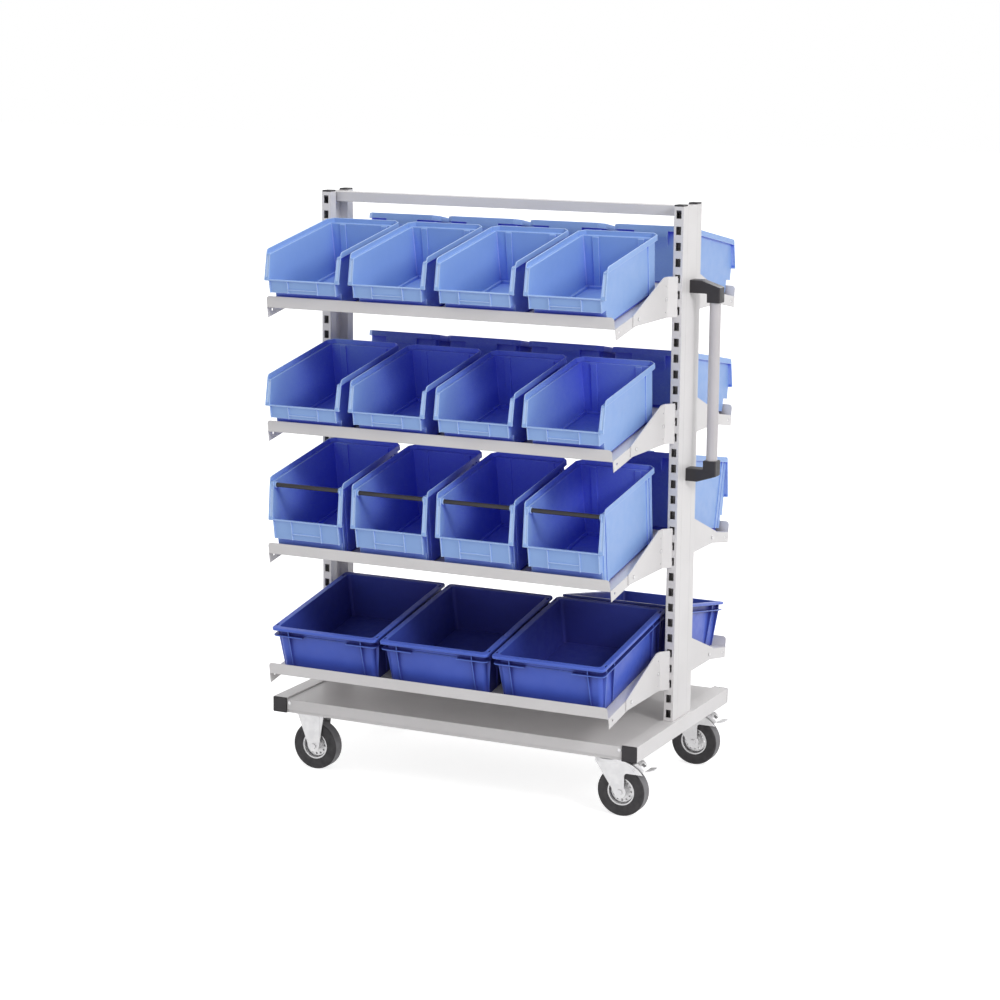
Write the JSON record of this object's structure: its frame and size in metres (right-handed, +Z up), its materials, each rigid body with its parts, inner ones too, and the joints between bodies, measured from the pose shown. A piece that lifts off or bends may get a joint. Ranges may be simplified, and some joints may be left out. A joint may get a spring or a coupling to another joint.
{
  "type": "shelf trolley",
  "caption": "Double-sided picking trolley with tilted shelves of open-front bins and stacking boxes, a push handle, fixed castors and braked swivel castors.",
  "frame": {"origin": "on the floor, under the middle of the trolley's outer box", "axes": "+Z up, +X along the trolley to the push handle, -Y to the fully loaded front"},
  "size_m": [1.0886, 0.8598, 1.486],
  "materials": {
    "grey_coat": "satin powder coat",
    "handle_grey": "satin powder coat",
    "black_plastic": "fine grain",
    "black_bar": "satin",
    "zinc_steel": "bright zinc plate",
    "tyre_rubber": "solid rubber",
    "bin_blue": "moulded satin",
    "box_blue": "moulded satin"
  },
  "bodies": {
    "trolley": {"base_cross_channels": "grey_coat", "base_deck": "grey_coat", "base_side_tubes": "grey_coat", "end_caps": "black_plastic", "end_panels": "grey_coat", "fixed_castor_axles": "zinc_steel", "fixed_castor_forks": "zinc_steel", "frame_bolts": "zinc_steel", "handle_mounts": "black_plastic", "handle_tube": "handle_grey", "shelf_bolts": "zinc_steel", "shelf_brackets": "grey_coat", "shelves": "grey_coat", "swivel_castor_heads": "zinc_steel", "top_beam": "grey_coat", "upright_posts": "grey_coat"},
    "front_fixed_wheel": {"front_fixed_rim": "zinc_steel", "front_fixed_tyre": "tyre_rubber"},
    "front_swivel_wheel": {"front_swivel_rim": "zinc_steel", "front_swivel_tyre": "tyre_rubber"},
    "front_swivel": {"front_swivel_fork": "zinc_steel", "front_swivel_axle": "zinc_steel"},
    "front_brake": {"front_brake_pedal": "zinc_steel"},
    "rear_fixed_wheel": {"rear_fixed_rim": "zinc_steel", "rear_fixed_tyre": "tyre_rubber"},
    "rear_swivel_wheel": {"rear_swivel_rim": "zinc_steel", "rear_swivel_tyre": "tyre_rubber"},
    "rear_swivel": {"rear_swivel_fork": "zinc_steel", "rear_swivel_axle": "zinc_steel"},
    "rear_brake": {"rear_brake_pedal": "zinc_steel"},
    "front_row1_low_bin_1": {"front_row1_low_bin_1": "bin_blue"},
    "front_row1_low_bin_2": {"front_row1_low_bin_2": "bin_blue"},
    "front_row1_low_bin_3": {"front_row1_low_bin_3": "bin_blue"},
    "front_row1_low_bin_4": {"front_row1_low_bin_4": "bin_blue"},
    "rear_row1_low_bin_1": {"rear_row1_low_bin_1": "bin_blue"},
    "rear_row1_low_bin_2": {"rear_row1_low_bin_2": "bin_blue"},
    "rear_row1_low_bin_3": {"rear_row1_low_bin_3": "bin_blue"},
    "rear_row1_low_bin_4": {"rear_row1_low_bin_4": "bin_blue"},
    "front_row2_low_bin_1": {"front_row2_low_bin_1": "bin_blue"},
    "front_row2_low_bin_2": {"front_row2_low_bin_2": "bin_blue"},
    "front_row2_low_bin_3": {"front_row2_low_bin_3": "bin_blue"},
    "front_row2_low_bin_4": {"front_row2_low_bin_4": "bin_blue"},
    "rear_row2_low_bin_1": {"rear_row2_low_bin_1": "bin_blue"},
    "rear_row2_low_bin_2": {"rear_row2_low_bin_2": "bin_blue"},
    "rear_row2_low_bin_3": {"rear_row2_low_bin_3": "bin_blue"},
    "rear_row2_low_bin_4": {"rear_row2_low_bin_4": "bin_blue"},
    "front_row3_tall_bin_1": {"front_row3_tall_bin_1": "bin_blue", "front_row3_rod_1": "black_bar"},
    "front_row3_tall_bin_2": {"front_row3_tall_bin_2": "bin_blue", "front_row3_rod_2": "black_bar"},
    "front_row3_tall_bin_3": {"front_row3_tall_bin_3": "bin_blue", "front_row3_rod_3": "black_bar"},
    "front_row3_tall_bin_4": {"front_row3_tall_bin_4": "bin_blue", "front_row3_rod_4": "black_bar"},
    "rear_row3_tall_bin_1": {"rear_row3_tall_bin_1": "bin_blue", "rear_row3_rod_1": "black_bar"},
    "front_row4_stacking_box_1": {"front_row4_stacking_box_1": "box_blue"},
    "front_row4_stacking_box_2": {"front_row4_stacking_box_2": "box_blue"},
    "front_row4_stacking_box_3": {"front_row4_stacking_box_3": "box_blue"},
    "rear_row4_stacking_box_1": {"rear_row4_stacking_box_1": "box_blue"}
  },
  "joints": [
    {"name": "front_swivel_turn", "type": "hinge", "parent": "trolley", "child": "front_swivel", "pos_m": [0.37725, -0.2465, 0.125], "axis": [0, 0, 1], "continuous": true},
    {"name": "front_brake_press", "type": "hinge", "parent": "front_swivel", "child": "front_brake", "pos_m": [0.44825, -0.2465, 0.124], "axis": [0, 1, 0], "range_deg": [0, 12]},
    {"name": "front_swivel_wheel_spin", "type": "hinge", "parent": "front_swivel", "child": "front_swivel_wheel", "pos_m": [0.41225, -0.2465, 0.0625], "axis": [0, 1, 0], "continuous": true},
    {"name": "front_fixed_wheel_spin", "type": "hinge", "parent": "trolley", "child": "front_fixed_wheel", "pos_m": [-0.44875, -0.2465, 0.0625], "axis": [0, 1, 0], "continuous": true},
    {"name": "rear_swivel_turn", "type": "hinge", "parent": "trolley", "child": "rear_swivel", "pos_m": [0.37725, 0.2465, 0.125], "axis": [0, 0, 1], "continuous": true},
    {"name": "rear_brake_press", "type": "hinge", "parent": "rear_swivel", "child": "rear_brake", "pos_m": [0.44825, 0.2465, 0.124], "axis": [0, 1, 0], "range_deg": [0, 12]},
    {"name": "rear_swivel_wheel_spin", "type": "hinge", "parent": "rear_swivel", "child": "rear_swivel_wheel", "pos_m": [0.41225, 0.2465, 0.0625], "axis": [0, 1, 0], "continuous": true},
    {"name": "rear_fixed_wheel_spin", "type": "hinge", "parent": "trolley", "child": "rear_fixed_wheel", "pos_m": [-0.44875, 0.2465, 0.0625], "axis": [0, 1, 0], "continuous": true},
    {"name": "front_row1_low_bin_1_lift", "type": "slide", "parent": "trolley", "child": "front_row1_low_bin_1", "axis": [0, -0.1736, 0.9848], "range_m": [0, 0.25]},
    {"name": "front_row1_low_bin_2_lift", "type": "slide", "parent": "trolley", "child": "front_row1_low_bin_2", "axis": [0, -0.1736, 0.9848], "range_m": [0, 0.25]},
    {"name": "front_row1_low_bin_3_lift", "type": "slide", "parent": "trolley", "child": "front_row1_low_bin_3", "axis": [0, -0.1736, 0.9848], "range_m": [0, 0.25]},
    {"name": "front_row1_low_bin_4_lift", "type": "slide", "parent": "trolley", "child": "front_row1_low_bin_4", "axis": [0, -0.1736, 0.9848], "range_m": [0, 0.25]},
    {"name": "rear_row1_low_bin_1_lift", "type": "slide", "parent": "trolley", "child": "rear_row1_low_bin_1", "axis": [0, 0.1736, 0.9848], "range_m": [0, 0.25]},
    {"name": "rear_row1_low_bin_2_lift", "type": "slide", "parent": "trolley", "child": "rear_row1_low_bin_2", "axis": [0, 0.1736, 0.9848], "range_m": [0, 0.25]},
    {"name": "rear_row1_low_bin_3_lift", "type": "slide", "parent": "trolley", "child": "rear_row1_low_bin_3", "axis": [0, 0.1736, 0.9848], "range_m": [0, 0.25]},
    {"name": "rear_row1_low_bin_4_lift", "type": "slide", "parent": "trolley", "child": "rear_row1_low_bin_4", "axis": [0, 0.1736, 0.9848], "range_m": [0, 0.25]},
    {"name": "front_row2_low_bin_1_lift", "type": "slide", "parent": "trolley", "child": "front_row2_low_bin_1", "axis": [0, -0.1736, 0.9848], "range_m": [0, 0.15]},
    {"name": "front_row2_low_bin_2_lift", "type": "slide", "parent": "trolley", "child": "front_row2_low_bin_2", "axis": [0, -0.1736, 0.9848], "range_m": [0, 0.15]},
    {"name": "front_row2_low_bin_3_lift", "type": "slide", "parent": "trolley", "child": "front_row2_low_bin_3", "axis": [0, -0.1736, 0.9848], "range_m": [0, 0.15]},
    {"name": "front_row2_low_bin_4_lift", "type": "slide", "parent": "trolley", "child": "front_row2_low_bin_4", "axis": [0, -0.1736, 0.9848], "range_m": [0, 0.15]},
    {"name": "rear_row2_low_bin_1_lift", "type": "slide", "parent": "trolley", "child": "rear_row2_low_bin_1", "axis": [0, 0.1736, 0.9848], "range_m": [0, 0.15]},
    {"name": "rear_row2_low_bin_2_lift", "type": "slide", "parent": "trolley", "child": "rear_row2_low_bin_2", "axis": [0, 0.1736, 0.9848], "range_m": [0, 0.15]},
    {"name": "rear_row2_low_bin_3_lift", "type": "slide", "parent": "trolley", "child": "rear_row2_low_bin_3", "axis": [0, 0.1736, 0.9848], "range_m": [0, 0.15]},
    {"name": "rear_row2_low_bin_4_lift", "type": "slide", "parent": "trolley", "child": "rear_row2_low_bin_4", "axis": [0, 0.1736, 0.9848], "range_m": [0, 0.15]},
    {"name": "front_row3_tall_bin_1_lift", "type": "slide", "parent": "trolley", "child": "front_row3_tall_bin_1", "axis": [0, -0.1736, 0.9848], "range_m": [0, 0.1]},
    {"name": "front_row3_tall_bin_2_lift", "type": "slide", "parent": "trolley", "child": "front_row3_tall_bin_2", "axis": [0, -0.1736, 0.9848], "range_m": [0, 0.1]},
    {"name": "front_row3_tall_bin_3_lift", "type": "slide", "parent": "trolley", "child": "front_row3_tall_bin_3", "axis": [0, -0.1736, 0.9848], "range_m": [0, 0.1]},
    {"name": "front_row3_tall_bin_4_lift", "type": "slide", "parent": "trolley", "child": "front_row3_tall_bin_4", "axis": [0, -0.1736, 0.9848], "range_m": [0, 0.1]},
    {"name": "rear_row3_tall_bin_1_lift", "type": "slide", "parent": "trolley", "child": "rear_row3_tall_bin_1", "axis": [0, 0.1736, 0.9848], "range_m": [0, 0.1]},
    {"name": "front_row4_stacking_box_1_lift", "type": "slide", "parent": "trolley", "child": "front_row4_stacking_box_1", "axis": [0, -0.1736, 0.9848], "range_m": [0, 0.16]},
    {"name": "front_row4_stacking_box_2_lift", "type": "slide", "parent": "trolley", "child": "front_row4_stacking_box_2", "axis": [0, -0.1736, 0.9848], "range_m": [0, 0.16]},
    {"name": "front_row4_stacking_box_3_lift", "type": "slide", "parent": "trolley", "child": "front_row4_stacking_box_3", "axis": [0, -0.1736, 0.9848], "range_m": [0, 0.16]},
    {"name": "rear_row4_stacking_box_1_lift", "type": "slide", "parent": "trolley", "child": "rear_row4_stacking_box_1", "axis": [0, 0.1736, 0.9848], "range_m": [0, 0.16]}
  ]
}
